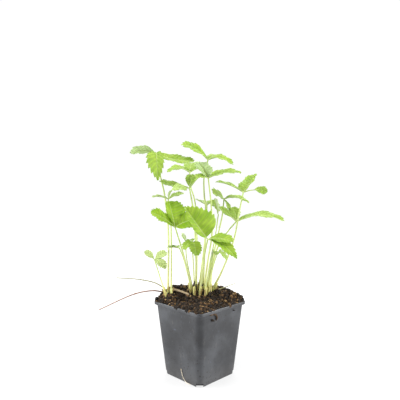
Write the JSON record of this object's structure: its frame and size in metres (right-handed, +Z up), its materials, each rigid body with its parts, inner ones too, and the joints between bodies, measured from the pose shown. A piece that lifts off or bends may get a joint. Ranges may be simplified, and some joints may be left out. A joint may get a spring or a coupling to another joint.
{
  "type": "potted strawberry plant",
  "caption": "Young strawberry plant with toothed leaves on long stalks and thin runners, growing from heaped compost in a square, tapered plastic nursery pot.",
  "frame": {"origin": "middle of the pot's flat base", "axes": "+Z up; the pot's sides run along X and Y, and the plant's front faces the pot's corner between +X and -Y"},
  "size_m": [0.1735, 0.1733, 0.3131],
  "materials": {
    "pot": "satin",
    "soil": "matte",
    "crown": "matte",
    "stalk": "satin",
    "leaf": "satin",
    "young_leaf": "satin",
    "runner": "satin"
  },
  "bodies": {
    "root": {"pot": "pot", "soil": "soil", "crown_main": "crown", "crown_left": "crown", "leaf_top_left_stalk": "stalk", "leaf_top_left_blade": "leaf", "leaf_top_middle_stalk": "stalk", "leaf_top_middle_blade": "leaf", "leaf_rear_left_stalk": "stalk", "leaf_rear_left_blade": "leaf", "leaf_high_left_stalk": "stalk", "leaf_high_left_blade": "leaf", "leaf_small_left_stalk": "stalk", "leaf_small_left_blade": "leaf", "leaf_broad_left_stalk": "stalk", "leaf_broad_left_blade": "leaf", "leaf_broad_front_stalk": "stalk", "leaf_broad_front_blade": "leaf", "leaf_top_right_stalk": "stalk", "leaf_top_right_blade": "leaf", "leaf_high_right_stalk": "stalk", "leaf_high_right_blade": "leaf", "leaf_long_right_stalk": "stalk", "leaf_long_right_blade": "leaf", "leaf_low_left_stalk": "stalk", "leaf_low_left_blade": "leaf", "leaf_small_front_stalk": "stalk", "leaf_small_front_blade": "leaf", "leaf_small_middle_stalk": "stalk", "leaf_small_middle_blade": "leaf", "leaf_under_front_stalk": "stalk", "leaf_under_front_blade": "leaf", "leaf_rear_middle_stalk": "stalk", "leaf_rear_middle_blade": "leaf", "leaf_high_middle_stalk": "stalk", "leaf_high_middle_blade": "leaf", "young_leaf_right_stalk": "stalk", "young_leaf_right_blade": "young_leaf", "young_leaf_left_stalk": "stalk", "young_leaf_left_blade": "young_leaf", "young_leaf_front_stalk": "stalk", "young_leaf_front_blade": "young_leaf", "runner_left_green": "runner", "runner_left_red": "runner", "runner_right": "runner"}
  },
  "joints": []
}
